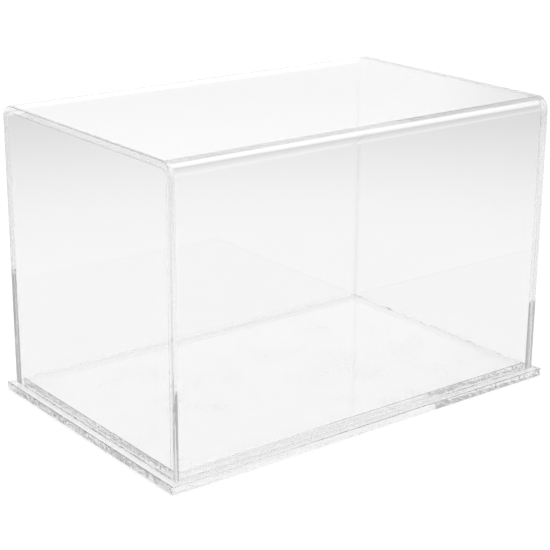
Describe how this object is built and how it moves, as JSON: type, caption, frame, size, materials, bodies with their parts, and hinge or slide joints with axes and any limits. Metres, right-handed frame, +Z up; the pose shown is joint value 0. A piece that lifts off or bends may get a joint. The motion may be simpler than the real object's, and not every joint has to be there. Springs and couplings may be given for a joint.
{
  "type": "football display case",
  "caption": "Clear acrylic display case for a football: a box cover with a one-piece bent front, top and back lifts off a flat overhanging base plate.",
  "frame": {"origin": "centre of the base plate's underside, on the surface that the case stands on", "axes": "+X along the case's length, -Y to its front, +Z up"},
  "size_m": [0.3272, 0.2128, 0.2088],
  "materials": {
    "clear_acrylic_sheet": "polished",
    "clear_acrylic_plate": "polished"
  },
  "bodies": {
    "base": {"base_plate": "clear_acrylic_plate", "riser_plate": "clear_acrylic_plate"},
    "cover": {"cover_wrap": "clear_acrylic_sheet", "left_end_panel": "clear_acrylic_sheet", "right_end_panel": "clear_acrylic_sheet"}
  },
  "joints": [
    {"name": "cover_lift", "type": "slide", "parent": "base", "child": "cover", "axis": [0, 0, 1], "range_m": [0, 0.25]}
  ]
}
